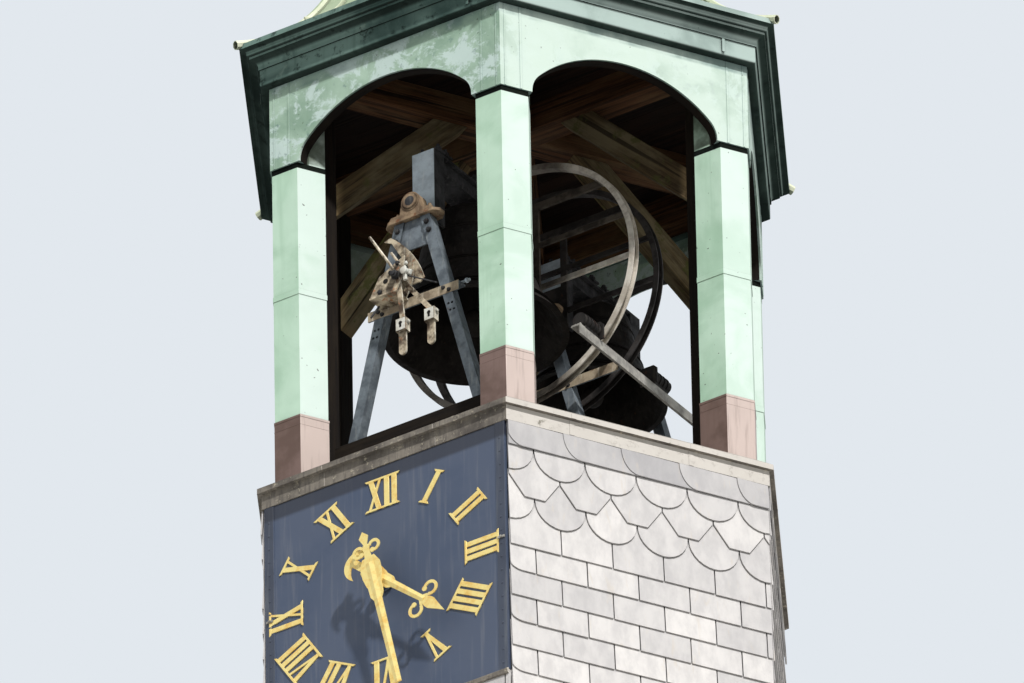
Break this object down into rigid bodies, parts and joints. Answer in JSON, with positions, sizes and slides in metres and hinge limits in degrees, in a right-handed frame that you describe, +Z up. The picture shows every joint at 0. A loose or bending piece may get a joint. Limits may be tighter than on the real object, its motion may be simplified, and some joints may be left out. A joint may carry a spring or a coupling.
{
  "type": "six-sided ridge turret with an open belfry",
  "caption": "Six-sided copper-clad belfry turret with arched openings, swinging bells in a steel frame, a slate-hung base and a dark clock face with gilt hands.",
  "frame": {"origin": "centre of the foot, on the level that the walls run down to", "axes": "+Z up, -Y out of the clock face, +X to the right along it"},
  "size_m": [3.4998, 3.0635, 7.9847],
  "materials": {
    "copper_green": "weathered copper sheet, pale green patina, standing folded seams",
    "copper_roof": "weathered copper sheet, darker green patina",
    "slate_wall": "hung slates on boards, dull",
    "lead_sill": "weathered metal sill sheet, dull grey beige",
    "dial_enamel": "dark slate-blue painted sheet, satin",
    "gilt": "gilded metal",
    "timber": "old sawn beams, dark, mossy in places",
    "steel": "galvanised steel sections, dull and stained",
    "bell_iron": "dark cast bell metal, dull",
    "motor_paint": "grey enamelled motor housing"
  },
  "bodies": {
    "turret": {"arch_back": "copper_green", "arch_back_left": "copper_green", "arch_back_right": "copper_green", "arch_front": "copper_green", "arch_front_left": "copper_green", "arch_front_right": "copper_green", "base_wall_back": "slate_wall", "base_wall_back_left": "slate_wall", "base_wall_back_right": "slate_wall", "base_wall_front": "slate_wall", "base_wall_front_left": "slate_wall", "base_wall_front_right": "slate_wall", "belfry_ceiling": "timber", "belfry_floor": "timber", "bell_bearings": "steel", "bell_frame_front": "steel", "bell_frame_middle": "steel", "bell_frame_rear": "steel", "bell_motors": "motor_paint", "clock_boss": "gilt", "clock_panel": "dial_enamel", "cornice": "copper_roof", "finial": "gilt", "frame_beams": "timber", "hip_rolls": "copper_roof", "knee_braces": "timber", "post_back_left": "copper_green", "post_back_right": "copper_green", "post_front_left": "copper_green", "post_front_right": "copper_green", "post_left": "copper_green", "post_right": "copper_green", "roof_shell": "copper_roof", "side_rails": "steel", "sill_band": "lead_sill", "sill_cap": "lead_sill", "strike_hammers": "steel", "tie_beams": "timber", "wall_plate": "timber"},
    "large_bell": {"large_bell": "bell_iron", "large_bell_clapper": "bell_iron", "large_bell_wheel": "steel", "large_bell_yoke": "steel"},
    "small_bell": {"small_bell": "bell_iron", "small_bell_clapper": "bell_iron", "small_bell_wheel": "steel", "small_bell_yoke": "steel"},
    "hour_hand": {"hour_hand": "gilt"},
    "minute_hand": {"minute_hand": "gilt"}
  },
  "joints": [
    {"name": "large_bell_swing", "type": "hinge", "parent": "turret", "child": "large_bell", "pos_m": [0, -0.45, 3.86], "axis": [0, 1, 0], "range_deg": [-60, 60]},
    {"name": "small_bell_swing", "type": "hinge", "parent": "turret", "child": "small_bell", "pos_m": [0, 0.73, 3.86], "axis": [0, 1, 0], "range_deg": [-60, 60]},
    {"name": "minute_hand_turn", "type": "hinge", "parent": "turret", "child": "minute_hand", "pos_m": [0, -1.5, 1.207], "axis": [0, 1, 0], "continuous": true},
    {"name": "hour_hand_turn", "type": "hinge", "parent": "turret", "child": "hour_hand", "pos_m": [0, -1.5, 1.207], "axis": [0, 1, 0], "continuous": true}
  ],
  "couplings": [
    {"joint": "hour_hand_turn", "follows": "minute_hand_turn", "ratio": 0.083333}
  ]
}
